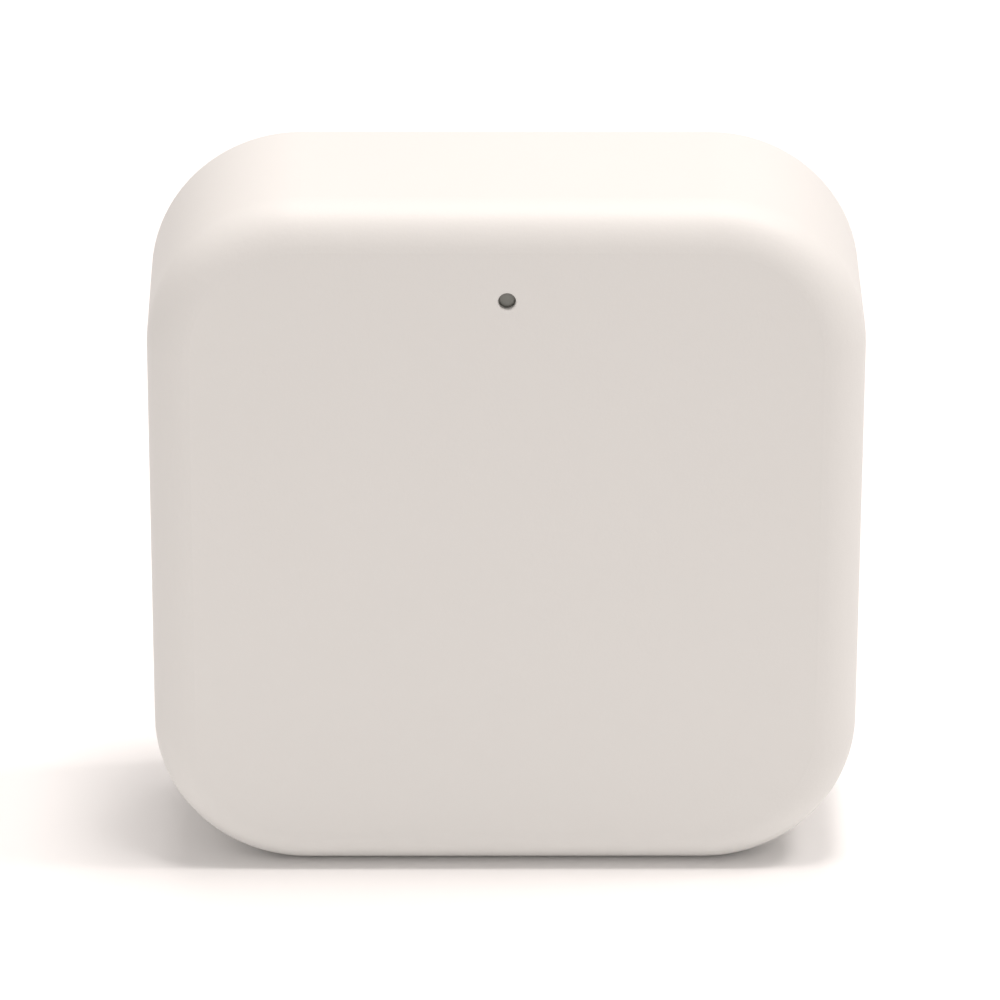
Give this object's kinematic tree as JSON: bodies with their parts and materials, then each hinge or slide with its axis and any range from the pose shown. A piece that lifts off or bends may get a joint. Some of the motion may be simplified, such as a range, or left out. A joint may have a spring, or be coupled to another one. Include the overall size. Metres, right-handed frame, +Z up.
{
  "type": "smart home hub",
  "caption": "Small square wireless hub for home devices, standing on edge, with a status light in its face and a power socket and reset button behind.",
  "frame": {"origin": "on the floor, under the middle of the hub's width and depth, as it stands on its lower wall", "axes": "+X across the face to the right as seen from the front, +Y from the face to the rear cover, +Z up"},
  "size_m": [0.07, 0.026, 0.07],
  "materials": {
    "case_white": "fine satin moulded",
    "cover_white": "fine spark-eroded texture",
    "screw_steel": "zinc plated",
    "foot_rubber": "matt",
    "label_film": "matt film, blank",
    "light_pipe_clear": "smoked clear",
    "shroud_black": "matt foam",
    "led_ceramic": "moulded",
    "led_lens_clear": "clear resin",
    "board_green": "solder mask",
    "socket_steel": "nickel plated",
    "socket_black": "moulded",
    "contact_gold": "gold plated",
    "button_grey": "satin moulded",
    "switch_black": "moulded",
    "switch_steel": "stamped",
    "module_blue": "solder mask",
    "shield_nickel": "stamped",
    "chip_black": "moulded epoxy",
    "crystal_steel": "drawn lid",
    "copper_trace": "etched copper",
    "antenna_ceramic": "fired ceramic",
    "lead_tin": "tinned",
    "inductor_ferrite": "ferrite",
    "can_aluminium": "drawn can",
    "capacitor_ceramic": "fired ceramic",
    "resistor_black": "glazed",
    "fuse_ceramic": "fired ceramic"
  },
  "bodies": {
    "case": {"front_shell": "case_white", "rear_cover": "cover_white", "cover_screws": "screw_steel", "rubber_feet": "foot_rubber", "rating_label": "label_film", "light_pipe": "light_pipe_clear", "led_shroud": "shroud_black", "status_led_base": "led_ceramic", "status_led_lens": "led_lens_clear", "main_board": "board_green", "board_screws": "screw_steel", "socket_shell": "socket_steel", "socket_plastic": "socket_black", "socket_contacts": "contact_gold", "switch_base": "switch_black", "switch_frame": "switch_steel", "switch_dome": "switch_steel", "module_board": "module_blue", "module_shield": "shield_nickel", "module_processor": "chip_black", "module_memory": "chip_black", "module_crystal": "crystal_steel", "trace_antenna": "copper_trace", "radio_chip": "chip_black", "radio_crystal": "crystal_steel", "radio_antenna": "antenna_ceramic", "regulator_body": "chip_black", "regulator_leads": "lead_tin", "power_inductor": "inductor_ferrite", "capacitor_cans": "can_aluminium", "capacitor_bases": "switch_black", "ceramic_capacitors": "capacitor_ceramic", "chip_resistors": "resistor_black", "input_fuse": "fuse_ceramic", "surge_diode": "chip_black"},
    "button": {"reset_button": "button_grey", "switch_plunger": "switch_black"}
  },
  "joints": [
    {"name": "reset_press", "type": "slide", "parent": "case", "child": "button", "axis": [0, -1, 0], "range_m": [0, 0.00025], "stiffness_N_per_m": 6400}
  ]
}
